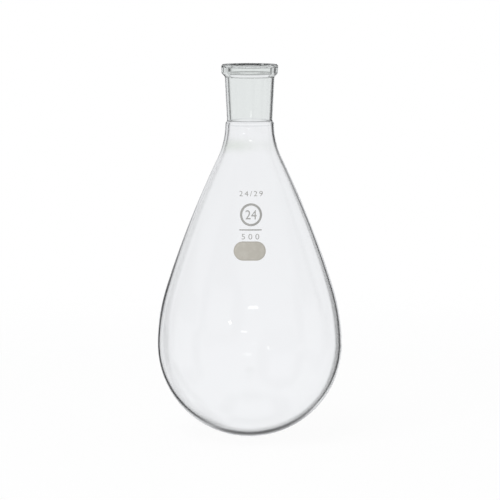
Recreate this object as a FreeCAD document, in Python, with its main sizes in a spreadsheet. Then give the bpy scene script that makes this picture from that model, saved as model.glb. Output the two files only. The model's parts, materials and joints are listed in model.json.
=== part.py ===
import FreeCAD, Part
import math
import os

import Sketcher
from FreeCAD import Vector

# Pear-shaped recovery flask of clear borosilicate glass.
# Origin: centre of the mouth of the ground socket. +Z: up, out of the mouth. Front: -Y.
# Everything is turned about Z, so the sections are drawn in the X-Z plane.

SIZES = {
    # ground socket
    "joint_bore": 24.0,          # bore across the mouth
    "joint_length": 29.0,        # ground length, mouth to narrow end
    "bore_taper": 0.1,           # bore lost per mm of depth, the usual 1 in 10
    "joint_wall": 1.24,
    # bead round the mouth, which a joint clip catches under
    "bead_stand": 1.6,           # how far it stands out from the socket
    "bead_narrowing": 0.2,       # how much narrower it is at the foot of its side
    "bead_side": 4.6,            # height of its side
    "bead_height": 6.4,          # mouth to the foot of the sloped underside
    # seam, where the socket tube is melted to the blown neck
    "seam_step": 0.85,           # how far the neck stands out from the socket
    "seam_length": 1.5,
    # blown pear
    "body_diameter": 96.4,
    "ball_depth": 146.4,         # mouth to the widest place
    "haunch_radius": 100.0,      # long curve from the widest place up
    "flank_radius": 510.0,       # nearly straight flank
    "shoulder_radius": 42.5,     # hollow curve into the neck
    "blown_wall": 1.2,
    "foot_wall": 1.75,           # glass gathers at the foot
    # fire-polished edges
    "mouth_round": 0.8,
    "rim_round": 1.1,
    "underside_round": 1.4,
    "throat_round": 0.8,
    "seam_round": 0.9,
    # enamel spot for pencil notes, fired on the front of the flank
    "spot_width": 16.4,
    "spot_height": 9.4,
    "spot_depth": 93.3,          # mouth to the spot's centre
    "enamel_thickness": 0.12,
}

START, END, CENTRE = 1, 2, 3     # places on a sketch line or arc
ORIGIN = (-1, START)
ACROSS, UPRIGHT = -1, -2         # the sketch's own axes

SOCKET_END = "sizes.joint_bore / 2 - sizes.joint_length * sizes.bore_taper / 2"
NECK = SOCKET_END + " + sizes.joint_wall + sizes.seam_step"

doc = FreeCAD.newDocument("recovery_flask")


def fill_sheet():
    """Write the driving sizes to a sheet, one named cell each."""
    sheet = doc.addObject("Spreadsheet::Sheet", "sizes")
    for row, (name, value) in enumerate(SIZES.items(), start=1):
        sheet.set(f"A{row}", name)
        sheet.set(f"B{row}", str(value))
        sheet.setAlias(f"B{row}", name)
    doc.recompute()
    return sheet


sheet = fill_sheet()


def size(name):
    return float(sheet.get(name))


def new_body(label):
    body = doc.addObject("PartDesign::Body", label)
    body.Label = label
    return body


def new_sketch(body, name):
    """An empty sketch on the body's own X-Z plane."""
    sketch = body.newObject("Sketcher::SketchObject", name)
    plane = next(f for f in body.Origin.OriginFeatures if f.Role == "XZ_Plane")
    sketch.AttachmentSupport = [(plane, "")]
    sketch.MapMode = "FlatFace"
    return sketch


def bind(sketch, kind, places, expression, guess=1.0):
    """Add a dimension to a sketch and tie it to the sheet."""
    index = sketch.addConstraint(Sketcher.Constraint(kind, *places, guess))
    sketch.setExpression(f"Constraints[{index}]", expression)


def tie(sketch, kind, *places):
    sketch.addConstraint(Sketcher.Constraint(kind, *places))


def add_arc(sketch, centre, radius, low, high, construction=False):
    """An arc drawn counter-clockwise from the angle low to the angle high, in radians."""
    circle = Part.Circle(Vector(centre[0], centre[1], 0), Vector(0, 0, 1), radius)
    return sketch.addGeometry(Part.ArcOfCircle(circle, low, high), construction)


def add_line(sketch, first, last):
    return sketch.addGeometry(Part.LineSegment(Vector(*first, 0), Vector(*last, 0)))


def add_loop(sketch, points):
    """Straight lines round the points, joined end to end. Returns each line's number."""
    lines = [add_line(sketch, a, b) for a, b in zip(points, points[1:] + points[:1])]
    for line, following in zip(lines, lines[1:] + lines[:1]):
        tie(sketch, "Coincident", line, END, following, START)
    return lines


def socket_end():
    """Radius of the ground bore at its narrow end."""
    return size("joint_bore") / 2 - size("joint_length") * size("bore_taper") / 2


def neck():
    """Outer radius of the neck just under the seam."""
    return socket_end() + size("joint_wall") + size("seam_step")


def pear_centres():
    """Centres of the haunch, flank and shoulder arcs, and the angles at which the arcs meet."""
    haunch = Vector(size("body_diameter") / 2 - size("haunch_radius"), -size("ball_depth"), 0)
    shoulder = Vector(neck() + size("shoulder_radius"), -size("joint_length") - size("seam_length"), 0)
    # the flank circle encloses the haunch circle and touches the shoulder circle from outside
    to_haunch = size("flank_radius") - size("haunch_radius")
    to_shoulder = size("flank_radius") + size("shoulder_radius")
    apart = shoulder - haunch
    along = (apart.Length**2 + to_haunch**2 - to_shoulder**2) / (2 * apart.Length)
    aside = math.sqrt(to_haunch**2 - along**2)
    unit = Vector(apart).normalize()
    flank = haunch + unit * along + Vector(-unit.y, unit.x, 0) * aside
    if flank.x > haunch.x:
        flank = haunch + unit * along - Vector(-unit.y, unit.x, 0) * aside
    low = math.atan2(haunch.y - flank.y, haunch.x - flank.x)
    high = math.atan2(shoulder.y - flank.y, shoulder.x - flank.x)
    return haunch, flank, shoulder, low, high


def add_pear(sketch, construction=False):
    """The pear's outer line, foot to seam: ball, haunch, flank and shoulder, each tangent to the next."""
    haunch, flank, shoulder, low, high = pear_centres()
    ball_radius = size("body_diameter") / 2
    ball = add_arc(sketch, (0, haunch.y), ball_radius, -math.pi / 2, 0, construction)
    curve = add_arc(sketch, haunch, size("haunch_radius"), 0, low, construction)
    side = add_arc(sketch, flank, size("flank_radius"), low, high, construction)
    hollow = add_arc(sketch, shoulder, size("shoulder_radius"), math.pi, math.pi + high, construction)
    tie(sketch, "PointOnObject", ball, CENTRE, UPRIGHT)
    tie(sketch, "PointOnObject", ball, START, UPRIGHT)
    tie(sketch, "Tangent", ball, END, curve, START)
    tie(sketch, "Horizontal", ball, CENTRE, curve, CENTRE)
    tie(sketch, "Tangent", curve, END, side, START)
    tie(sketch, "Tangent", side, END, hollow, END)
    tie(sketch, "Horizontal", hollow, CENTRE, hollow, START)
    bind(sketch, "Radius", (ball,), "sizes.body_diameter / 2", ball_radius)
    bind(sketch, "Radius", (curve,), "sizes.haunch_radius", size("haunch_radius"))
    bind(sketch, "Radius", (side,), "sizes.flank_radius", size("flank_radius"))
    bind(sketch, "Radius", (hollow,), "sizes.shoulder_radius", size("shoulder_radius"))
    bind(sketch, "DistanceY", (ball, CENTRE, *ORIGIN), "sizes.ball_depth", size("ball_depth"))
    bind(sketch, "DistanceX", (*ORIGIN, hollow, START), NECK, neck())
    depth = "sizes.joint_length + sizes.seam_length"
    bind(sketch, "DistanceY", (hollow, START, *ORIGIN), depth, -shoulder.y)
    return ball, curve, side, hollow


def revolve(body, sketch, name):
    """Turn a section about Z, adding its glass to the body."""
    turned = body.newObject("PartDesign::Revolution", name)
    turned.Profile = sketch
    turned.ReferenceAxis = (sketch, ["V_Axis"])
    turned.Angle = 360
    sketch.Visibility = False
    doc.recompute()
    return turned


def circle_edge(shape, radius, height):
    """Name of the full circle about Z at a radius and a height."""
    for number, edge in enumerate(shape.Edges, start=1):
        if edge.Degenerated or not isinstance(edge.Curve, Part.Circle):
            continue
        centre = edge.Curve.Center
        if abs(edge.Curve.Radius - radius) < 1e-4 and abs(centre.z - height) < 1e-4:
            return f"Edge{number}"
    raise RuntimeError(f"no circle of radius {radius:.3f} at height {height:.3f}")


def round_edges(body, name, radius_name, circles):
    """Fire-polish the circles given as (radius, height) pairs."""
    base = body.Tip
    fillet = body.newObject("PartDesign::Fillet", name)
    fillet.Base = (base, [circle_edge(base.Shape, radius, height) for radius, height in circles])
    fillet.setExpression("Radius", f"sizes.{radius_name}")
    doc.recompute()


# Flask: blown pear, drawn as the section of its wall

flask = new_body("flask")
pear_section = new_sketch(flask, "pear_section")
ball, curve, side, hollow = add_pear(pear_section)
haunch, flank, shoulder, low, high = pear_centres()
wall = size("blown_wall")
foot = -size("ball_depth") - size("body_diameter") / 2

# the inner line has the outer line's centres, apart from the ball, which leaves a thicker foot
inner_hollow = add_arc(
    pear_section, shoulder, size("shoulder_radius") + wall, math.pi, math.pi + high)
inner_side = add_arc(pear_section, flank, size("flank_radius") - wall, low, high)
inner_curve = add_arc(pear_section, haunch, size("haunch_radius") - wall, 0, low)
inner_radius = size("body_diameter") / 2 - wall
inner_centre = (0, foot + size("foot_wall") + inner_radius)
inner_ball = add_arc(pear_section, inner_centre, inner_radius, -math.pi / 2, 0)
neck_end = add_line(pear_section, (neck(), shoulder.y), (neck() - wall, shoulder.y))
foot_line = add_line(pear_section, (0, foot + size("foot_wall")), (0, foot))

for inner, outer in ((inner_hollow, hollow), (inner_side, side), (inner_curve, curve)):
    tie(pear_section, "Coincident", inner, CENTRE, outer, CENTRE)
bind(pear_section, "Radius", (inner_curve,), "sizes.haunch_radius - sizes.blown_wall",
     size("haunch_radius") - wall)
tie(pear_section, "Tangent", inner_curve, END, inner_side, START)
tie(pear_section, "Tangent", inner_side, END, inner_hollow, END)
tie(pear_section, "Horizontal", inner_hollow, CENTRE, inner_hollow, START)
tie(pear_section, "PointOnObject", inner_ball, CENTRE, UPRIGHT)
tie(pear_section, "PointOnObject", inner_ball, START, UPRIGHT)
tie(pear_section, "Tangent", inner_ball, END, inner_curve, START)
tie(pear_section, "Coincident", neck_end, START, hollow, START)
tie(pear_section, "Coincident", neck_end, END, inner_hollow, START)
tie(pear_section, "Coincident", foot_line, START, inner_ball, START)
tie(pear_section, "Coincident", foot_line, END, ball, START)
bind(pear_section, "DistanceY", (foot_line, END, foot_line, START), "sizes.foot_wall",
     size("foot_wall"))
revolve(flask, pear_section, "pear")

# Flask: ground socket with its bead, and the seam down to the neck

bore = size("joint_bore") / 2
end = socket_end()
socket_out = size("joint_wall")
bead = bore + socket_out + size("bead_stand")
bead_foot = bore + socket_out - size("bead_height") * size("bore_taper") / 2
seam_top = -size("joint_length")
seam_foot = seam_top - size("seam_length")

socket_section = new_sketch(flask, "socket_section")
ground, lip, bead_side, underside, outside, seam_out, seam_face, seam_in = add_loop(
    socket_section,
    [
        (end, seam_top),
        (bore, 0),
        (bead, 0),
        (bead - size("bead_narrowing"), -size("bead_side")),
        (bead_foot, -size("bead_height")),
        (end + socket_out, seam_top),
        (neck(), seam_foot),
        (neck() - wall, seam_foot),
    ],
)
tie(socket_section, "PointOnObject", lip, START, ACROSS)
tie(socket_section, "PointOnObject", lip, END, ACROSS)
tie(socket_section, "Parallel", outside, ground)
tie(socket_section, "Horizontal", ground, START, outside, END)
tie(socket_section, "Horizontal", seam_face)
bind(socket_section, "DistanceX", (*ORIGIN, lip, START), "sizes.joint_bore / 2", bore)
bind(socket_section, "DistanceX", (*ORIGIN, ground, START), SOCKET_END, end)
bind(socket_section, "DistanceY", (ground, START, *ORIGIN), "sizes.joint_length", -seam_top)
bind(socket_section, "DistanceX", (ground, START, outside, END), "sizes.joint_wall", socket_out)
bind(socket_section, "DistanceX", (*ORIGIN, lip, END),
     "sizes.joint_bore / 2 + sizes.joint_wall + sizes.bead_stand", bead)
bind(socket_section, "DistanceX", (bead_side, END, bead_side, START), "sizes.bead_narrowing",
     size("bead_narrowing"))
bind(socket_section, "DistanceY", (bead_side, END, bead_side, START), "sizes.bead_side",
     size("bead_side"))
bind(socket_section, "DistanceY", (underside, END, *ORIGIN), "sizes.bead_height",
     size("bead_height"))
bind(socket_section, "DistanceX", (*ORIGIN, seam_out, END), NECK, neck())
bind(socket_section, "DistanceY", (seam_out, END, seam_out, START), "sizes.seam_length",
     size("seam_length"))
bind(socket_section, "DistanceX", (seam_face, END, seam_face, START), "sizes.blown_wall", wall)
revolve(flask, socket_section, "socket")

round_edges(flask, "mouth_edge", "mouth_round", [(bore, 0)])
round_edges(flask, "rim_edge", "rim_round", [(bead, 0)])
round_edges(flask, "underside_edge", "underside_round",
            [(bead - size("bead_narrowing"), -size("bead_side"))])
round_edges(flask, "throat_edge", "throat_round", [(bead_foot, -size("bead_height"))])
round_edges(flask, "seam_edges", "seam_round",
            [(end + socket_out, seam_top), (end, seam_top),
             (neck(), seam_foot), (neck() - wall, seam_foot)])

# Marking spot: an oval prism from the front, cut back to a skin that lies on the flank

marking_spot = new_body("marking_spot")
oval = new_sketch(marking_spot, "oval")
spot_height = size("spot_height") / 2
spot_reach = size("spot_width") / 2 - spot_height
spot_middle = -size("spot_depth")
right = add_arc(oval, (spot_reach, spot_middle), spot_height, -math.pi / 2, math.pi / 2)
left = add_arc(oval, (-spot_reach, spot_middle), spot_height, math.pi / 2, math.pi * 3 / 2)
top = add_line(oval, (spot_reach, spot_middle + spot_height), (-spot_reach, spot_middle + spot_height))
bottom = add_line(oval, (-spot_reach, spot_middle - spot_height), (spot_reach, spot_middle - spot_height))
tie(oval, "Tangent", right, END, top, START)
tie(oval, "Tangent", top, END, left, START)
tie(oval, "Tangent", left, END, bottom, START)
tie(oval, "Tangent", bottom, END, right, START)
tie(oval, "Horizontal", top)
tie(oval, "Symmetric", left, CENTRE, right, CENTRE, UPRIGHT)
bind(oval, "Radius", (right,), "sizes.spot_height / 2", spot_height)
bind(oval, "DistanceX", (left, CENTRE, right, CENTRE), "sizes.spot_width - sizes.spot_height",
     2 * spot_reach)
bind(oval, "DistanceY", (right, CENTRE, *ORIGIN), "sizes.spot_depth", -spot_middle)

prism = marking_spot.newObject("PartDesign::Pad", "prism")
prism.Profile = oval
prism.setExpression("Length", "sizes.body_diameter / 2")
doc.recompute()

# the cut takes what lies inside the flank, and what lies outside the enamel's own face
skin_section = new_sketch(marking_spot, "skin_section")
_, _, flank_line, _ = add_pear(skin_section, construction=True)
flank_radius = size("flank_radius")
enamel = size("enamel_thickness")
far = size("body_diameter")
upper, lower = spot_middle + 2 * spot_height, spot_middle - 2 * spot_height


def at_height(radius, height):
    """Angle on a circle about the flank's centre, and the distance from Z there."""
    angle = math.asin((height - flank.y) / radius)
    return angle, flank.x + radius * math.cos(angle)


for radius, far_side in ((flank_radius, 0), (flank_radius + enamel, far)):
    low_angle, low_reach = at_height(radius, lower)
    high_angle, high_reach = at_height(radius, upper)
    skin = add_arc(skin_section, flank, radius, low_angle, high_angle)
    roof = add_line(skin_section, (high_reach, upper), (far_side, upper))
    back = add_line(skin_section, (far_side, upper), (far_side, lower))
    floor = add_line(skin_section, (far_side, lower), (low_reach, lower))
    tie(skin_section, "Coincident", skin, CENTRE, flank_line, CENTRE)
    tie(skin_section, "Coincident", skin, END, roof, START)
    tie(skin_section, "Coincident", roof, END, back, START)
    tie(skin_section, "Coincident", back, END, floor, START)
    tie(skin_section, "Coincident", floor, END, skin, START)
    tie(skin_section, "Horizontal", roof)
    tie(skin_section, "Horizontal", floor)
    bind(skin_section, "DistanceY", (roof, START, *ORIGIN), "sizes.spot_depth - sizes.spot_height",
         -upper)
    bind(skin_section, "DistanceY", (floor, END, *ORIGIN), "sizes.spot_depth + sizes.spot_height",
         -lower)
    if far_side:
        tie(skin_section, "Vertical", back)
        bind(skin_section, "DistanceX", (*ORIGIN, back, START), "sizes.body_diameter", far)
        bind(skin_section, "Radius", (skin,), "sizes.flank_radius + sizes.enamel_thickness", radius)
    else:
        tie(skin_section, "PointOnObject", back, START, UPRIGHT)
        tie(skin_section, "PointOnObject", back, END, UPRIGHT)
        bind(skin_section, "Radius", (skin,), "sizes.flank_radius", radius)

skin_cut = marking_spot.newObject("PartDesign::Groove", "skin_cut")
skin_cut.Profile = skin_section
skin_cut.ReferenceAxis = (skin_section, ["V_Axis"])
skin_cut.Angle = 360

# Checks and export

doc.recompute()
for thing in doc.Objects:
    if "Invalid" in thing.State or "Error" in thing.State:
        raise RuntimeError(f"{thing.Name} did not build: {thing.State}")
    if thing.TypeId == "Sketcher::SketchObject" and not thing.FullyConstrained:
        raise RuntimeError(f"sketch {thing.Name} is not fully constrained")

os.makedirs("parts", exist_ok=True)
for body in (flask, marking_spot):
    body.Placement = FreeCAD.Placement(Vector(0, 0, 0), FreeCAD.Rotation())
    shape = body.Shape
    if shape.isNull() or not shape.isValid() or len(shape.Solids) != 1:
        raise RuntimeError(f"{body.Label} is not one valid solid")
    print(f"{body.Label}: {shape.Volume:.2f} cubic mm, {shape.BoundBox}")
    shape.exportStep(f"parts/{body.Label}.step")
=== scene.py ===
# %% [markdown]
# # A recovery flask in clear glass
#
# The flask is blown from clear borosilicate glass: a pear with a round bottom, a short neck, and a ground
# socket with a beaded mouth that is melted on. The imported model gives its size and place. This lesson
# spins the glass again at a finer step, because light bends in it, and then prints the marks, fires the
# enamel spot and lights it.

# %% Load the frame
import json
import math

import bmesh
import bpy
from mathutils import Matrix, Vector, noise

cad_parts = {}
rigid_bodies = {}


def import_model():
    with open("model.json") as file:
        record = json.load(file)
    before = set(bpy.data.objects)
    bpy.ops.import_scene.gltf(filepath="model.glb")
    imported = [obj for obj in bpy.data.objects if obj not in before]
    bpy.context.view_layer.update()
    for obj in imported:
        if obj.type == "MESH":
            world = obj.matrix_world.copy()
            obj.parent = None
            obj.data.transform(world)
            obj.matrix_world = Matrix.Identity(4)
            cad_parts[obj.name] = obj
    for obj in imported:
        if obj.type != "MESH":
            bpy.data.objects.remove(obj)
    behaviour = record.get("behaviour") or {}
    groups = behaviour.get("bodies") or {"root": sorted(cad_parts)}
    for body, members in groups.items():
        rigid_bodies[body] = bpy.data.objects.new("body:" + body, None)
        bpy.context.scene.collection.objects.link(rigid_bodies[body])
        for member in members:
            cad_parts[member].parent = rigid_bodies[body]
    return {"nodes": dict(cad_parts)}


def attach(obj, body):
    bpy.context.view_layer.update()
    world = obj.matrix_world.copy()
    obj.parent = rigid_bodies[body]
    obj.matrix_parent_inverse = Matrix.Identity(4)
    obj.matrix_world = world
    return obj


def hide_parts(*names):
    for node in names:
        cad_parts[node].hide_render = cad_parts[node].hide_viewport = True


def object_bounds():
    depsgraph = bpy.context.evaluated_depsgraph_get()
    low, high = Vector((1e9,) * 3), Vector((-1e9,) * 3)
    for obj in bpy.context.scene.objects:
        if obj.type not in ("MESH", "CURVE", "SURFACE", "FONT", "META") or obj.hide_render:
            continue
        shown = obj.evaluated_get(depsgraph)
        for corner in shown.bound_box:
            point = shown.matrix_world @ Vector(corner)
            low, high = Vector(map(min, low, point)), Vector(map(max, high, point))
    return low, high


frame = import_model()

cad_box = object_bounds()
low, high = cad_box
print("width and height in mm:", round((high.x - low.x) * 1000, 1), round((high.z - low.z) * 1000, 1))

# %% [markdown]
# ## The camera
#
# The photograph looks along the middle of the flask from a little above, from far enough away that the
# mouth is a narrow ellipse. A long lens 1.5 m away gives the same flat view. The picture is 500 pixels
# wide, and a pixel is 0.522 mm at the flask, so the lens is worked out from those numbers.

# %% Camera
MM = 0.001
PICTURE = 500                   # pixels across
PIXEL = 0.522 * MM              # at the flask
AXIS_COLUMN = 249.7             # where the flask's axis stands in the picture
MOUTH_ROW = 65.7                # where the middle of the mouth lies
DISTANCE = 1.5                  # metres
ELEVATION = math.radians(6.5)
SENSOR = 36.0                   # mm wide, as the lens is in mm

back = Vector((0, -math.cos(ELEVATION), math.sin(ELEVATION)))
aim_depth = (PICTURE / 2 - MOUTH_ROW) * PIXEL / math.cos(ELEVATION)
aim = Vector(((PICTURE / 2 - AXIS_COLUMN) * PIXEL, 0, -aim_depth))
camera = bpy.data.objects.new("camera", bpy.data.cameras.new("camera"))
camera.data.sensor_width = SENSOR
camera.data.lens = SENSOR * DISTANCE / (PICTURE * PIXEL)
camera.location = aim + back * DISTANCE
camera.rotation_mode = "QUATERNION"
camera.rotation_quaternion = back.to_track_quat("Z", "Y")
bpy.context.scene.collection.objects.link(camera)
bpy.context.scene.camera = camera
print("a lens of", round(camera.data.lens, 1), "mm")

# %% [markdown]
# ## The sizes of the glass
#
# These are the driving sizes of the flask. Its outline is four arcs that run into each other: the ball,
# the long haunch, the nearly straight flank and the hollow shoulder. Each centre follows from the radii,
# because two arcs that touch have their centres on one line with the place where they touch.

# %% Sizes
BORE = 12.0 * MM                # radius of the ground bore across the mouth
SOCKET = 29.0 * MM              # length of the ground bore
NARROWING = 0.05                # radius that the bore loses with depth, a taper of 1 in 10
SOCKET_WALL = 1.24 * MM
BEAD_STAND = 1.6 * MM           # of the rim, out from the socket's wall
BEAD_LEAN = 0.2 * MM            # inwards, over the bead's side
BEAD_SIDE = 4.6 * MM
BEAD_HEIGHT = 6.4 * MM
SEAM = 1.5 * MM                 # height of the seam
SEAM_STEP = 0.85 * MM
BALL = 48.2 * MM
BALL_DEPTH = 146.4 * MM
HAUNCH = 100.0 * MM
FLANK = 510.0 * MM
SHOULDER = 42.5 * MM
WALL = 1.2 * MM
FOOT_WALL = 1.75 * MM

bead = BORE + SOCKET_WALL + BEAD_STAND
end_bore = BORE - SOCKET * NARROWING
neck = end_bore + SOCKET_WALL + SEAM_STEP
seam_foot = -SOCKET - SEAM
haunch_centre = Vector((BALL - HAUNCH, 0, -BALL_DEPTH))
shoulder_centre = Vector((neck + SHOULDER, 0, seam_foot))
apart = shoulder_centre - haunch_centre
to_haunch, to_shoulder = FLANK - HAUNCH, FLANK + SHOULDER
along = (apart.length**2 + to_haunch**2 - to_shoulder**2) / (2 * apart.length)
aside = math.sqrt(to_haunch**2 - along**2)
square_to_it = Vector((-apart.z, 0, apart.x)).normalized()
flank_centre = haunch_centre + apart.normalized() * along + square_to_it * aside
flank_low = math.atan2(haunch_centre.z - flank_centre.z, haunch_centre.x - flank_centre.x)
flank_high = math.atan2(shoulder_centre.z - flank_centre.z, shoulder_centre.x - flank_centre.x)
print("degrees along the flank:", round(math.degrees(flank_low), 1), round(math.degrees(flank_high), 1))


def flank_radius(z):
    """Outer radius of the flask at a height on the flank."""
    return flank_centre.x + math.sqrt(FLANK**2 - (z - flank_centre.z)**2)


# %% [markdown]
# ## The section of the wall
#
# A glassblower's wall is thin and even, so its section is one closed line: up the outside, over the mouth
# and down the inside to the foot. An arc is a single point that is spun about the arc's centre, and a
# straight stretch is a point that is extruded in short steps. The steps stay short beside the corners, so
# that smooth shading keeps to the corner and doesn't bend the long faces.

# %% Helpers for the section
MERGE = 1e-7                    # points nearer than this become one
STRAIGHT_STEP = 0.8 * MM        # at most, along a straight stretch


def start_at(bm, x, z):
    """The first point of the section, at a radius and a height."""
    return bm.verts.new((x, 0, z))


def arc_to(bm, point, centre, angle, steps):
    """Spin the last point about a centre, by an angle that is positive towards +Z on the right-hand side."""
    spun = bmesh.ops.spin(
        bm, geom=[point], cent=centre, axis=(0, -1, 0), angle=angle, steps=steps)
    return next(item for item in spun["geom_last"] if isinstance(item, bmesh.types.BMVert))


def line_to(bm, point, x, z):
    """Extrude the last point along a straight line, in short steps."""
    first = point.co.copy()
    last = Vector((x, 0, z))
    count = math.ceil((last - first).length / STRAIGHT_STEP)
    for number in range(1, count + 1):
        point = bmesh.ops.extrude_vert_indiv(bm, verts=[point])["verts"][0]
        point.co = first.lerp(last, number / count)
    return point


def turn_about_axis(bm, segments):
    """Turn the section once about the flask's axis and close its seam and poles."""
    bmesh.ops.spin(
        bm, geom=bm.verts[:] + bm.edges[:], cent=(0, 0, 0), axis=(0, 0, 1), angle=math.tau,
        steps=segments, use_merge=True)
    bmesh.ops.remove_doubles(bm, verts=bm.verts, dist=MERGE)
    bmesh.ops.recalc_face_normals(bm, faces=bm.faces)


# %% [markdown]
# ## Fire-polished edges
#
# The mouth, the rim, the bead's underside and the seam are softened by the flame. After the spin, each
# corner is a ring of edges, and a bevel rounds the whole ring. A fillet of radius r at a corner that
# turns by an angle a starts r tan(a / 2) away from it, which is the bevel's offset.

# %% Rounding a ring
ON_RING = 2e-6                  # a vertex this near counts as on the ring


def ring_edges(bm, radius, height):
    """The edges of the level circle at a radius and a height."""
    def on_ring(v):
        return abs(math.hypot(v.co.x, v.co.y) - radius) < ON_RING and abs(v.co.z - height) < ON_RING
    return [e for e in bm.edges if on_ring(e.verts[0]) and on_ring(e.verts[1])]


def round_ring(bm, before, corner, after, radius, segments):
    """Round the ring at a corner of the section, between the corners before and after it."""
    turn = (Vector(corner) - Vector(before)).angle(Vector(after) - Vector(corner))
    bmesh.ops.bevel(
        bm, geom=ring_edges(bm, *corner), offset=radius * math.tan(turn / 2), segments=segments,
        profile=0.5, affect="EDGES", material=-1)


# %% [markdown]
# ## The blown glass
#
# The whole flask is one piece of glass. The outer line climbs from the pole of the foot, and the inner
# line comes back down with the same centres, so that the wall stays even. Only the inner ball sits
# higher, which leaves the thicker foot.

# %% Spin the glass
ROUND = 256                     # steps about the axis
BALL_STEPS = 44                 # steps along each arc of the section
HAUNCH_STEPS = 14
FLANK_STEPS = 22
SHOULDER_STEPS = 16

# corners of the section, each as a radius and a height
mouth = (BORE, 0.0)
rim = (bead, 0.0)
bead_under = (bead - BEAD_LEAN, -BEAD_SIDE)
bead_foot = (BORE + SOCKET_WALL - BEAD_HEIGHT * NARROWING, -BEAD_HEIGHT)
socket_out = (end_bore + SOCKET_WALL, -SOCKET)
neck_out = (neck, seam_foot)
socket_in = (end_bore, -SOCKET)
neck_in = (neck - WALL, seam_foot)
foot = -BALL_DEPTH - BALL

# the inner ball touches the inner haunch and leaves the thicker foot
reach = HAUNCH - WALL
rise = foot + FOOT_WALL - haunch_centre.z
inner_ball = (reach**2 - haunch_centre.x**2 - rise**2) / (2 * (reach + rise))
inner_centre = Vector((0, 0, foot + FOOT_WALL + inner_ball))
inner_meet = math.atan2(inner_centre.z - haunch_centre.z, -haunch_centre.x)

glass = bmesh.new()
point = start_at(glass, 0, foot)
point = arc_to(glass, point, (0, 0, -BALL_DEPTH), math.pi / 2, BALL_STEPS)
point = arc_to(glass, point, haunch_centre, flank_low, HAUNCH_STEPS)
point = arc_to(glass, point, flank_centre, flank_high - flank_low, FLANK_STEPS)
point = arc_to(glass, point, shoulder_centre, -flank_high, SHOULDER_STEPS)
for corner in (socket_out, bead_foot, bead_under, rim, mouth, socket_in, neck_in):
    point = line_to(glass, point, *corner)
point = arc_to(glass, point, shoulder_centre, flank_high, SHOULDER_STEPS)
point = arc_to(glass, point, flank_centre, flank_low - flank_high, FLANK_STEPS)
point = arc_to(glass, point, haunch_centre, inner_meet - flank_low, HAUNCH_STEPS)
point = arc_to(glass, point, inner_centre, -math.pi / 2 - inner_meet, BALL_STEPS)
point.co.x = 0                  # closes the inner pole exactly on the axis
print("the section has", len(glass.verts), "points")
turn_about_axis(glass, ROUND)
print("spun", len(glass.faces), "faces")

# %% [markdown]
# ## Round the mouth, the bead and the seam
#
# Each row below names a corner between its neighbours on the section, the radius of its rounding and the
# number of faces across it. At the seam's lower corners the neck runs straight down, so any point further
# down serves as the neighbour.

# %% Round the rings
RIM_ROUND = 1.1 * MM
MOUTH_ROUND = 0.8 * MM
UNDERSIDE_ROUND = 1.4 * MM
THROAT_ROUND = 0.8 * MM
SEAM_ROUND = 0.9 * MM

below_seam = 2 * seam_foot
for before, corner, after, radius, segments in (
        (bead_under, rim, mouth, RIM_ROUND, 7),
        (rim, mouth, socket_in, MOUTH_ROUND, 7),
        (bead_foot, bead_under, rim, UNDERSIDE_ROUND, 5),
        (socket_out, bead_foot, bead_under, THROAT_ROUND, 4),
        (neck_out, socket_out, bead_foot, SEAM_ROUND, 5),
        ((neck, below_seam), neck_out, socket_out, SEAM_ROUND, 5),
        (mouth, socket_in, neck_in, SEAM_ROUND, 5),
        (socket_in, neck_in, (neck - WALL, below_seam), SEAM_ROUND, 5)):
    round_ring(glass, before, corner, after, radius, segments)
open_edges = sum(not e.is_manifold for e in glass.edges)
print("rounded to", len(glass.faces), "faces, with", open_edges, "open edges")

# %% [markdown]
# ## The blower's hand
#
# A blown wall is never quite even: the mould or the blower fixes the outside, and the inside wanders by
# about a tenth of a millimetre. Light shows it as a slight unevenness in the reflections. Each vertex of
# the inner wall is moved along its normal by smooth noise, which fades out at the seam, where the tube is
# drawn and true.

# %% Let the inner wall wander
WANDER = 0.1 * MM
PATCHES = 26.0                  # patches of noise per metre
FINER = 2.3                     # how much finer the second noise is
FINE_SHARE = 0.35
ELSEWHERE = Vector((3, 5, 7))   # keeps the second noise from following the first
FADE = 25 * MM                  # below the seam


def wander(place):
    """How far the inner wall stands in or out at a place."""
    fade = min(1.0, max(0.0, (seam_foot - place.z) / FADE))
    broad = noise.noise(place * PATCHES)
    fine = noise.noise(place * PATCHES * FINER + ELSEWHERE)
    return WANDER * fade * (broad + FINE_SHARE * fine)


glass.normal_update()
ball_centre = Vector((0, 0, -BALL_DEPTH))
inner_wall = [v for v in glass.verts if v.normal.dot(v.co - ball_centre) < 0 and v.co.z < seam_foot]
moves = [v.normal * wander(v.co) for v in inner_wall]
for vertex, move in zip(inner_wall, moves):
    vertex.co += move
print("moved", len(inner_wall), "vertices by up to", round(max(m.length for m in moves) / MM, 3), "mm")

# %% [markdown]
# ## From bmesh to a piece
#
# A finished piece stays at the origin, with its place in its mesh. It rides on the body and stands for the
# plain node where it has one.

# %% Keep a piece


def keep(bm, name, node=None):
    """Write a bmesh to a smooth object that rides on the flask's body."""
    mesh = bpy.data.meshes.new(name)
    bm.to_mesh(mesh)
    bm.free()
    mesh.shade_smooth()
    piece = bpy.data.objects.new(name, mesh)
    bpy.context.scene.collection.objects.link(piece)
    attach(piece, "root")
    if node:
        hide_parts(node)
    print(name, "has", sum(len(p.vertices) - 2 for p in mesh.polygons), "triangles")
    return piece


blown_flask = keep(glass, "blown_flask", "flask")

# %% [markdown]
# ## Shader maths as ordinary maths
#
# A material is a tree of nodes. The class below wraps an output of a node, so that `1 - mask * 0.5` adds
# the Math nodes for it, and one method adds any other node from its type, its settings and the values of
# its sockets. An output is picked by its name or its place.

# %% Helpers for materials


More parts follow.
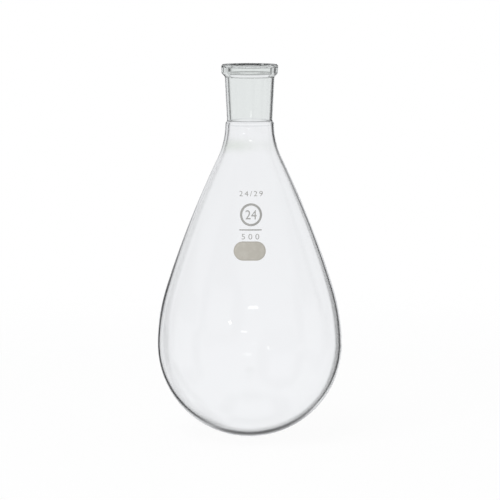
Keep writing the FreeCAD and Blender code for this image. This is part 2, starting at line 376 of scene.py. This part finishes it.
class Value:
    """An output in a node tree, with the operators of ordinary maths."""

    def __init__(self, nodes, socket):
        self.nodes = nodes
        self.socket = socket

    def maths(self, operation, *values):
        """A Math node on values and numbers."""
        return self.nodes.node("Math", {"operation": operation}, dict(enumerate(values)))

    def of(self, operation):
        """An operation on this value alone."""
        return self.maths(operation, self)

    def __add__(self, other):
        return self.maths("ADD", self, other)

    def __radd__(self, other):
        return self.maths("ADD", other, self)

    def __sub__(self, other):
        return self.maths("SUBTRACT", self, other)

    def __rsub__(self, other):
        return self.maths("SUBTRACT", other, self)

    def __mul__(self, other):
        return self.maths("MULTIPLY", self, other)

    def __rmul__(self, other):
        return self.maths("MULTIPLY", other, self)

    def at_least(self, other):
        return self.maths("MAXIMUM", self, other)

    def ramp(self, low, high):
        """0 below low, 1 above high, with a smooth step between them. It falls where low is above high."""
        return self.nodes.node(
            "MapRange", {"interpolation_type": "SMOOTHSTEP"},
            {"Value": self, "From Min": low, "From Max": high, "To Min": 0.0, "To Max": 1.0})


class Nodes:
    """The node tree of one material or of the world, emptied first."""

    def __init__(self, owner):
        owner.use_nodes = True
        self.tree = owner.node_tree
        self.tree.nodes.clear()

    def node(self, kind, settings=None, sockets=None, output=0):
        """Add a node, with its settings and then the values or links of its sockets, and give an output."""
        made = self.tree.nodes.new("ShaderNode" + kind)
        for name, value in (settings or {}).items():
            setattr(made, name, value)
        for place, value in (sockets or {}).items():
            if isinstance(value, Value):
                self.tree.links.new(value.socket, made.inputs[place])
            else:
                made.inputs[place].default_value = value
        return Value(self, made.outputs[output]) if made.outputs else None

    def mix(self, factor, first, second):
        """A colour between two colours."""
        return self.node("Mix", {"data_type": "RGBA"}, {0: factor, 6: first, 7: second}, 2)

    def between(self, factor, first, second):
        """A number between two numbers."""
        return self.node("Mix", {"data_type": "FLOAT"}, {0: factor, 2: first, 3: second})

    def light_path(self, output):
        """What kind of ray looks at the surface, or how it came here."""
        return self.node("LightPath", output=output)


def colour(red, green, blue):
    """An opaque colour."""
    return (red, green, blue, 1.0)


WHITE = colour(1.0, 1.0, 1.0)

# %% [markdown]
# ## Clear glass
#
# Borosilicate glass bends light by an index of 1.473. Two things keep it from looking like nothing at
# all. The thick places swallow a little light, which a Volume Absorption with plain values gives, and the
# surface has the faint unevenness of blown and drawn glass, which is a bump of a few hundredths of a
# millimetre: broad on the pear, and in long streaks down the drawn socket.

# %% Glass
GLASS_INDEX = 1.473
SWALLOWED = 18.0                # per metre of glass
GLASS_TINT = colour(0.30, 0.42, 0.30)
GROUND_TINT = colour(0.945, 0.958, 0.945)       # the ground joint passes a little less light
GROUND_EVEN, GROUND_STREAKED = 0.85, 0.5        # how far it does so evenly and in streaks
GROUND_END = 1 * MM                             # to each side of its end, over which it fades
# painted shade: the seam's two dark lines come from light that its rounded glass bends away, painted into
# the glass's colour here
SEAM_SHADE_TINT = colour(0.90, 0.91, 0.91)
SEAM_SHADE_DEPTHS = (28.8 * MM, 31.2 * MM)             # depths of the two painted dark lines of shade, which the seam's rounded glass shows by bending light
SEAM_SHADE_FADE = (0.5 * MM, 0.1 * MM)           # away from a line, where it is gone and where it is full
SHOULDER_TINT = colour(0.93, 0.945, 0.92)       # a darker tint under the neck, stronger on one side
SHOULDER_HAZE = (37 * MM, 42 * MM, 47 * MM)     # depths where it begins, is deepest and ends
SHOULDER_SIDE = (6 * MM, -8 * MM)               # across, where it is weak and where it is full
SHOULDER_WEAK = 0.3
WAVES = 38.0                                    # of the broad unevenness, per metre
STREAKS = 150.0                                 # of the drawn streaks, per metre across
STREAK_STRETCH = 0.12                           # their share of that along the flask
STREAK_HEIGHT = 0.25                            # beside a height of 1 of the broad waves
WAVE_DEPTH = 0.1 * MM
WAVE_STRENGTH = 0.25


def glass_tint(nodes, place, streaks):
    """What the surface lets through: the ground zone, a darker tint under the neck, and two dark lines of
    painted shade at the seam.
    """
    across = nodes.node("SeparateXYZ", None, {0: place}, "X")
    height = nodes.node("SeparateXYZ", None, {0: place}, "Z")
    ground = height.ramp(-SOCKET - GROUND_END, -SOCKET + GROUND_END)
    ground = ground * (GROUND_EVEN + GROUND_STREAKED * streaks)
    # painted shade: two dark lines at the seam stand in for the shade that its bent light shows
    painted_seam_shade = 0.0
    for depth in SEAM_SHADE_DEPTHS:
        painted_seam_shade = (height + depth).of("ABSOLUTE").ramp(*SEAM_SHADE_FADE).at_least(painted_seam_shade)
    begin, deepest, end = SHOULDER_HAZE
    haze = height.ramp(-begin, -deepest) * height.ramp(-end, -deepest)
    haze = haze * (SHOULDER_WEAK + (1.0 - SHOULDER_WEAK) * across.ramp(*SHOULDER_SIDE))
    tint = nodes.mix(ground, WHITE, GROUND_TINT)
    tint = nodes.mix(haze, tint, SHOULDER_TINT)
    return nodes.mix(painted_seam_shade, tint, SEAM_SHADE_TINT)


def clear_glass():
    """Glass that bends light, swallows a little of it and is faintly uneven."""
    material = bpy.data.materials.new("clear_glass")
    nodes = Nodes(material)
    place = nodes.node("TexCoord", output="Object")
    stretched = nodes.node("Mapping", None, {"Vector": place, "Scale": (1.0, 1.0, STREAK_STRETCH)})
    broad = nodes.node("TexNoise", None, {"Vector": place, "Scale": WAVES, "Detail": 1.0})
    streaks = nodes.node("TexNoise", None, {"Vector": stretched, "Scale": STREAKS, "Detail": 1.0})
    uneven = nodes.node("Bump", None, {
        "Strength": WAVE_STRENGTH, "Distance": WAVE_DEPTH, "Height": broad + STREAK_HEIGHT * streaks})
    shader = nodes.node("BsdfPrincipled", None, {
        "Base Color": glass_tint(nodes, place, streaks), "Roughness": 0.0, "IOR": GLASS_INDEX,
        "Transmission Weight": 1.0, "Normal": uneven})
    inside = nodes.node("VolumeAbsorption", None, {"Color": GLASS_TINT, "Density": SWALLOWED})
    nodes.node("OutputMaterial", None, {"Surface": shader, "Volume": inside})
    return material


blown_flask.data.materials.append(clear_glass())
print("the glass has", len(blown_flask.data.materials[0].node_tree.nodes), "nodes")

# %% [markdown]
# ## Fired enamel
#
# The oval spot and the print are a ceramic ink that is fired into the surface. It is matt, so that a
# pencil marks it, and close up it is slightly mottled, with fine grains. The ink heaps up a little along
# the edge of the spot, so a mask of the distance from its middle line darkens it there.

# %% Enamel
ENAMEL = colour(0.50, 0.478, 0.425)
ENAMEL_THIN = colour(0.54, 0.519, 0.468)
ENAMEL_HEAPED = colour(0.45, 0.43, 0.382)
PRINT_ENAMEL = colour(0.37, 0.37, 0.355)
PRINT_ENAMEL_THIN = colour(0.45, 0.445, 0.43)
SPOT_DEPTH = 93.3 * MM
SPOT_FLAT = 3.5 * MM            # half the straight part of the spot's long sides
SPOT_ROUND = 4.7 * MM           # radius of its ends
HEAPED = (0.84, 0.93)           # shares of that radius, over which the ink heaps up
MOTTLES = 420.0                 # per metre
MOTTLED = (0.42, 0.72)          # of the noise, over which the enamel thins
GRAINS = 5200.0                 # per metre
GRAIN_DEPTH = 0.02 * MM
GRAIN_STRENGTH = 0.3
ENAMEL_INDEX = 1.5
ENAMEL_ROUGH, GRAIN_ROUGH = 0.52, 0.16      # everywhere, and added by the grains


def spot_edge(nodes, place):
    """1 along the edge of the spot, where the enamel is heaped, and 0 inside it."""
    along = nodes.node("SeparateXYZ", None, {0: place}, "X")
    along = (along.of("ABSOLUTE") - SPOT_FLAT).at_least(0.0)
    across = nodes.node("SeparateXYZ", None, {0: place}, "Z") + SPOT_DEPTH
    out = along * along + across * across
    return out.of("SQRT").ramp(HEAPED[0] * SPOT_ROUND, HEAPED[1] * SPOT_ROUND)


def fired_enamel(name, full, thin, heaped=None):
    """Matt enamel between two colours, with a third along the edge of the spot where one is given."""
    material = bpy.data.materials.new(name)
    nodes = Nodes(material)
    place = nodes.node("TexCoord", output="Object")
    mottled = nodes.node("TexNoise", None, {"Vector": place, "Scale": MOTTLES, "Detail": 3.0})
    grains = nodes.node("TexNoise", None, {"Vector": place, "Scale": GRAINS, "Detail": 2.0})
    paint = nodes.mix(mottled.ramp(*MOTTLED), full, thin)
    if heaped:
        paint = nodes.mix(spot_edge(nodes, place), paint, heaped)
    bump = nodes.node("Bump", None, {
        "Strength": GRAIN_STRENGTH, "Distance": GRAIN_DEPTH, "Height": grains})
    shader = nodes.node("BsdfPrincipled", None, {
        "Base Color": paint, "Roughness": ENAMEL_ROUGH + GRAIN_ROUGH * grains, "IOR": ENAMEL_INDEX,
        "Normal": bump})
    nodes.node("OutputMaterial", None, {"Surface": shader})
    return material


spot = frame["nodes"]["marking_spot"]
spot.data.materials.clear()
spot.data.materials.append(fired_enamel("fired_enamel", ENAMEL, ENAMEL_THIN, ENAMEL_HEAPED))
print_enamel = fired_enamel("print_enamel", PRINT_ENAMEL, PRINT_ENAMEL_THIN)
print("fired", spot.data.materials[0].name, "and", print_enamel.name)

# %% [markdown]
# ## The printed marks
#
# Above the spot the flask carries small marks in an enamel of the same kind, put on with a screen and
# fired: the size of the joint, a ringed figure, a rule and the capacity. A mark is a flat outline first.
# Thin cuts divide it into narrow cells, so that it can follow the round flank, and then it gets the
# thickness of the print.

# %% Print on the flank
CELL = 0.4 * MM
ON_CUT = 1e-8                   # a vertex this near counts as on the cut
PRINT_THICKNESS = 0.03 * MM
CLEAR_OF_GLASS = 0.004 * MM
FIRST_GUESS = -0.09             # of a height on the flank
CLOSER = 8                      # times that the guess is brought closer
MARKS_COLUMN = 251.0            # middle of the marks in the picture


def on_front(row):
    """The height on the front of the flank that the camera sees on a row of pixels."""
    z = FIRST_GUESS
    for _ in range(CLOSER):
        z = (flank_radius(z) * math.sin(ELEVATION) - (row - MOUTH_ROW) * PIXEL) / math.cos(ELEVATION)
    return z


def print_on_flank(bm, name, column, row, width, height):
    """Stand a flat mark up, lay it on the flank at its place in the picture, and give it its thickness."""
    least, most = (Vector(f(v.co[i] for v in bm.verts) for i in range(2)) for f in (min, max))
    bmesh.ops.translate(bm, vec=-((least + most) / 2).to_3d(), verts=bm.verts)
    bmesh.ops.scale(
        bm, vec=(width / (most.x - least.x), height / (most.y - least.y), 1.0), verts=bm.verts)
    bmesh.ops.rotate(bm, cent=(0, 0, 0), matrix=Matrix.Rotation(math.pi / 2, 3, "X"), verts=bm.verts)
    for axis, extent in ((Vector((1, 0, 0)), width), (Vector((0, 0, 1)), height)):
        for number in range(-int(extent / 2 / CELL), int(extent / 2 / CELL) + 1):
            bmesh.ops.bisect_plane(
                bm, geom=bm.verts[:] + bm.edges[:] + bm.faces[:], dist=ON_CUT,
                plane_co=axis * (number * CELL), plane_no=axis)
    bmesh.ops.translate(bm, vec=((column - AXIS_COLUMN) * PIXEL, 0, on_front(row)), verts=bm.verts)
    for v in bm.verts:
        v.co.y = -math.sqrt((flank_radius(v.co.z) + CLEAR_OF_GLASS)**2 - v.co.x**2)
    bmesh.ops.remove_doubles(bm, verts=bm.verts, dist=MERGE)
    bmesh.ops.recalc_face_normals(bm, faces=bm.faces)
    bmesh.ops.solidify(bm, geom=bm.faces[:], thickness=PRINT_THICKNESS)
    bmesh.ops.recalc_face_normals(bm, faces=bm.faces)
    mark = keep(bm, name)
    mark.data.shade_flat()
    mark.data.materials.append(print_enamel)


# %% [markdown]
# ## Figures
#
# The figures come from the built-in font. They are made a mesh before they are scaled and placed, so that
# the same steps as for any other mark can lay them on the glass.

# %% Figures
JOINT_SIZE_ROW = 194.7
JOINT_SIZE_WIDTH, JOINT_SIZE_HEIGHT = 23.0 * PIXEL, 5.0 * PIXEL
JOINT_SIZE_SPACING = 1.35
CAPACITY_COLUMN, CAPACITY_ROW = 250.4, 237.0
CAPACITY_WIDTH, CAPACITY_HEIGHT = 17.3 * PIXEL, 5.3 * PIXEL
CAPACITY_SPACING = 1.6
FONT_MERGE = 1e-5               # in the font's own units


def figures(text, spacing=1.0):
    """Flat figures as a bmesh, in the plane of X and Y."""
    curve = bpy.data.curves.new("figures", "FONT")
    curve.body = text
    curve.space_character = spacing
    holder = bpy.data.objects.new("figures", curve)
    mesh = bpy.data.meshes.new_from_object(holder)
    bm = bmesh.new()
    bm.from_mesh(mesh)
    for block, thing in ((bpy.data.meshes, mesh), (bpy.data.objects, holder), (bpy.data.curves, curve)):
        block.remove(thing)
    bmesh.ops.remove_doubles(bm, verts=bm.verts, dist=FONT_MERGE)
    return bm


print_on_flank(
    figures("24/29", JOINT_SIZE_SPACING), "print_joint_size", MARKS_COLUMN, JOINT_SIZE_ROW,
    JOINT_SIZE_WIDTH, JOINT_SIZE_HEIGHT)
print_on_flank(
    figures("500", CAPACITY_SPACING), "print_capacity", CAPACITY_COLUMN, CAPACITY_ROW,
    CAPACITY_WIDTH, CAPACITY_HEIGHT)

# %% [markdown]
# ## Ring and rule
#
# The ring is two circles with faces bridged between them, and the rule is a single face. The cuts give
# both enough cells to follow the flank.

# %% Ring and rule
RING_SHARE = 0.2                # of the ringed mark's radius
RING_ROW = 215.5
RING_ACROSS = 21.6 * PIXEL
RINGED_WIDTH, RINGED_HEIGHT = 11.0 * PIXEL, 8.6 * PIXEL
RULE_COLUMN, RULE_ROW = 250.5, 230.4
RULE_LENGTH, RULE_THICKNESS = 22.0 * PIXEL, 1.1 * PIXEL


def ring():
    """A flat ring of radius 1."""
    bm = bmesh.new()
    for radius in (1.0, 1.0 - RING_SHARE):
        bmesh.ops.create_circle(bm, segments=72, radius=radius)
    bmesh.ops.bridge_loops(bm, edges=bm.edges[:])
    return bm


def rule():
    """A flat bar."""
    bm = bmesh.new()
    bmesh.ops.create_grid(bm, x_segments=1, y_segments=1, size=1.0)
    return bm


print_on_flank(ring(), "print_ring", MARKS_COLUMN, RING_ROW, RING_ACROSS, RING_ACROSS)
print_on_flank(
    figures("24"), "print_ringed_figure", MARKS_COLUMN, RING_ROW, RINGED_WIDTH, RINGED_HEIGHT)
print_on_flank(rule(), "print_rule", RULE_COLUMN, RULE_ROW, RULE_LENGTH, RULE_THICKNESS)

# %% [markdown]
# ## Light for clear glass
#
# Clear glass is photographed against a white card that is little wider than the glass, between two dark
# flags. Rays that pass through the middle go straight to the card. Rays near the edge are bent by 10 to
# 25 degrees, past the card to a flag, so the edge draws itself as a dark line. The left flag begins
# softly and is narrow, and the right one begins sharply and is wide. Both end a little above the card,
# where a darker bar lies along its top, and the dark table begins under it. Only glass sees them, because
# the camera sees white and matt surfaces an even light.

# %% The card and its flags
LEFT_FLAG = (10, 17)            # degrees beside the card's middle, over which the flag begins
LEFT_END = (23, 27)
RIGHT_FLAG = (17, 22)
RIGHT_END = (42, 48)
LEFT_TOP = (4, 9)               # degrees above the card's middle, over which the flag ends
RIGHT_TOP = (6, 18)
FLAG_DARK = 0.93
BAR = (7, 10)                   # degrees above the card's middle, over which the bar begins
BAR_END = (20, 24)              # and ends
BAR_LEFT = (13, 18)
BAR_DARK = 0.6
TABLE = (-15, -24)              # degrees above the card's middle, over which the table begins
TABLE_DARK = 0.85
CARD_TOP, CARD_FOOT = 0.912, 0.975
CARD_SIDES = (0.07, 0.03)       # how much the card darkens towards its left and right side
CARD_FALL = (5, -8)             # degrees above its middle, between which it goes from CARD_TOP to CARD_FOOT
CARD_EDGE = (3, 14)             # degrees beside its middle, over which its sides darken
TABLE_LEFT = (-16, -6)          # degrees beside its middle, between which the table grows to its full dark
TABLE_WEAK = 0.4                # share of that dark at its left
STRAIGHT_DOWN = 0.01            # with a sideways direction shorter than this, the look is straight down


def behind(azimuth, elevation):
    """The direction that a camera looks in from an azimuth and an elevation in degrees."""
    a, e = math.radians(azimuth), math.radians(elevation)
    return Vector((-math.sin(a) * math.cos(e), math.cos(a) * math.cos(e), -math.sin(e)))


def reach_along(nodes, direction, axis):
    """How far a direction reaches along an axis, from -1 to 1."""
    return nodes.node("VectorMath", {"operation": "DOT_PRODUCT"}, {0: direction, 1: axis}, "Value")


def card_light(nodes, direction, centre):
    """The light from the card, its flags, the bar and the table, and the cosine from the card's middle."""
    right = centre.cross((0, 0, 1))
    seen_from_above = right.length < STRAIGHT_DOWN
    right = Vector((1, 0, 0)) if seen_from_above else right.normalized()
    ahead = reach_along(nodes, direction, centre)
    aside = reach_along(nodes, direction, right)
    aside = aside.maths("ARCTAN2", aside, ahead) * math.degrees(1)
    up = reach_along(nodes, direction, right.cross(centre)).of("ARCSINE") * math.degrees(1)
    left = aside.ramp(-LEFT_FLAG[0], -LEFT_FLAG[1]) * aside.ramp(-LEFT_END[1], -LEFT_END[0])
    left = left * up.ramp(LEFT_TOP[1], LEFT_TOP[0])
    before_end = aside.ramp(RIGHT_END[1], RIGHT_END[0])
    on_right = aside.ramp(*RIGHT_FLAG) * before_end * up.ramp(RIGHT_TOP[1], RIGHT_TOP[0])
    bar = up.ramp(*BAR) * up.ramp(BAR_END[1], BAR_END[0])
    bar = bar * aside.ramp(-BAR_LEFT[1], -BAR_LEFT[0]) * before_end
    table = up.ramp(*TABLE) * (TABLE_WEAK + (1.0 - TABLE_WEAK) * aside.ramp(*TABLE_LEFT))
    dark = (FLAG_DARK * left).at_least(FLAG_DARK * on_right)
    dark = dark.at_least(BAR_DARK * bar).at_least(TABLE_DARK * table)
    card = CARD_TOP + (CARD_FOOT - CARD_TOP) * up.ramp(*CARD_FALL)
    card = card - CARD_SIDES[0] * aside.ramp(-CARD_EDGE[0], -CARD_EDGE[1])
    card = card - CARD_SIDES[1] * aside.ramp(*CARD_EDGE)
    return card * (1.0 - dark), ahead


# %% [markdown]
# ## The room
#
# The same card stands behind the flask for each side that it is looked at from, and the front goes before
# the others. Between the cards the studio is dark. A ray that was mirrored at the wall meets a pale and
# even room there and sees the cards of the other sides only faintly, which keeps the body free of stray
# shapes. Light Path's Glossy Depth tells such rays apart, because it counts the mirrorings on the way.
# The card is a little bluish, which tells the clear glass from the pure white around it. Enamel that is
# seen through the wall sends its rays out through glass too, and Diffuse Depth tells those apart, so that
# they meet an even light and not the dark studio.

# %% World
SEEN_FROM = ((0, 90), (90, 3), (225, 15), (45, 25), (0, 6))     # azimuth and elevation, in degrees
STUDIO = 0.2                    # light between the cards
ROOM = 0.9                      # and of the room that the wall mirrors
CARD_TINT = colour(0.97, 0.975, 1.0)
REACH = (math.cos(math.radians(38)), math.cos(math.radians(30)))        # of a card with its flags
FRONT_REACH = (math.cos(math.radians(47)), math.cos(math.radians(40)))
MIRRORED_CARDS = 0.35           # how clearly the walls mirror the cards of the other sides
AMBIENT = 0.53                  # light on matt surfaces, beside that of the lamp
BEHIND_GLASS = 0.9              # and on matt surfaces behind glass, where the lamp doesn't reach


def studio():
    """The world: white for the camera, even for matt surfaces, and the cards in their room for glass."""
    world = bpy.data.worlds.new("studio")
    bpy.context.scene.world = world
    nodes = Nodes(world)
    direction = nodes.node("TexCoord", output="Generated")
    mirrored = nodes.light_path("Glossy Depth").ramp(0.0, 1.0)
    for_glass = STUDIO + (ROOM - STUDIO) * mirrored
    for side in SEEN_FROM:
        light, ahead = card_light(nodes, direction, behind(*side))
        if side == SEEN_FROM[-1]:
            near = ahead.ramp(*FRONT_REACH)
        else:
            near = ahead.ramp(*REACH) * (1.0 - (1.0 - MIRRORED_CARDS) * mirrored)
        for_glass = nodes.between(near, for_glass, light)
    after_matt = nodes.light_path("Diffuse Depth").ramp(0.0, 1.0)
    for_glass = nodes.between(after_matt, for_glass, BEHIND_GLASS)
    through_glass = nodes.light_path("Is Glossy Ray").at_least(nodes.light_path("Is Transmission Ray"))
    strength = nodes.between(through_glass, AMBIENT, for_glass)
    strength = nodes.between(nodes.light_path("Is Camera Ray"), strength, 1.0)
    tint = nodes.mix(through_glass, WHITE, CARD_TINT)
    background = nodes.node("Background", None, {"Color": tint, "Strength": strength})
    nodes.node("OutputWorld", None, {"Surface": background})
    print("the world has", len(world.node_tree.nodes), "nodes for", len(SEEN_FROM), "cards")


studio()

# %% [markdown]
# ## The floor
#
# The floor is plain and pale, touches the foot and keeps its soft shadow. The camera sees it mostly as
# white paper that is lit from behind, and it fades into the white around it. Glass looks through it,
# because the world already holds what glass should see below the flask.

# %% Floor
FLOOR = 0.7                     # radius
FLOOR_FADE = (0.3, 0.65)        # distances from the axis between which it fades out
PAPER = colour(0.9, 0.9, 0.9)
PAPER_GLOW = 0.95               # share of the floor that the camera sees as plain white


def floor():
    """A round floor at the foot that fades out into the white."""
    bm = bmesh.new()
    bmesh.ops.create_circle(bm, cap_ends=True, segments=96, radius=FLOOR)
    bmesh.ops.translate(bm, vec=(0, 0, foot), verts=bm.verts)
    mesh = bpy.data.meshes.new("floor")
    bm.to_mesh(mesh)
    bm.free()
    plane = bpy.data.objects.new("floor", mesh)
    bpy.context.scene.collection.objects.link(plane)
    material = bpy.data.materials.new("floor")
    nodes = Nodes(material)
    place = nodes.node("TexCoord", output="Object")
    out = nodes.node("VectorMath", {"operation": "LENGTH"}, {0: place}, "Value")
    unseen = out.ramp(*FLOOR_FADE)
    for ray in ("Is Glossy Ray", "Is Transmission Ray"):
        unseen = unseen.at_least(nodes.light_path(ray))
    paper = nodes.node("BsdfDiffuse", None, {"Color": PAPER})
    white = nodes.node("Emission", None, {"Color": WHITE, "Strength": 1.0})
    glow = nodes.light_path("Is Camera Ray") * PAPER_GLOW
    lit = nodes.node("MixShader", None, {0: glow, 1: paper, 2: white})
    clear = nodes.node("BsdfTransparent")
    shader = nodes.node("MixShader", None, {0: unseen, 1: lit, 2: clear})
    nodes.node("OutputMaterial", None, {"Surface": shader})
    mesh.materials.append(material)
    print("the floor lies at", round(foot / MM, 1), "mm")


floor()

# %% [markdown]
# ## The lamps
#
# One large soft box overhead lights the matt enamel and lays the soft shadow. Glass doesn't mirror it.
# What the glass does mirror are three small windows, in front of the flask, whose pictures are the white
# glints on its belly.

# %% Lamps
LAMP_DISTANCE = 1.2             # metres from the middle of the flask


def soft_lamp(name, azimuth, elevation, wide, tall, brightness, in_glass=True):
    """A soft box that looks at the middle of the flask, with a brightness that a white card has at 1."""
    lamp = bpy.data.lights.new(name, "AREA")
    lamp.shape = "RECTANGLE"
    lamp.size = wide
    lamp.size_y = tall
    lamp.energy = math.pi * wide * tall * brightness
    stand = bpy.data.objects.new(name, lamp)
    away = -behind(azimuth, elevation)
    stand.location = aim + away * LAMP_DISTANCE
    stand.rotation_euler = away.to_track_quat("Z", "Y").to_euler()
    stand.visible_glossy = in_glass
    stand.visible_transmission = in_glass
    stand.visible_camera = False
    bpy.context.scene.collection.objects.link(stand)
    print(name, "gives", round(lamp.energy, 2), "watts")


soft_lamp("overhead", azimuth=-35, elevation=55, wide=0.7, tall=0.7, brightness=4.94, in_glass=False)
soft_lamp("window_high", azimuth=4.5, elevation=20, wide=0.26, tall=0.035, brightness=2.6)
soft_lamp("window_left", azimuth=-25, elevation=10, wide=0.05, tall=0.04, brightness=8.0)
soft_lamp("window_low", azimuth=-7, elevation=5, wide=0.14, tall=0.02, brightness=2.5)

# %% [markdown]
# ## The colours
#
# The colours are shown as they are, with no film curve.

# %% Finish
bpy.context.scene.view_settings.view_transform = "Standard"
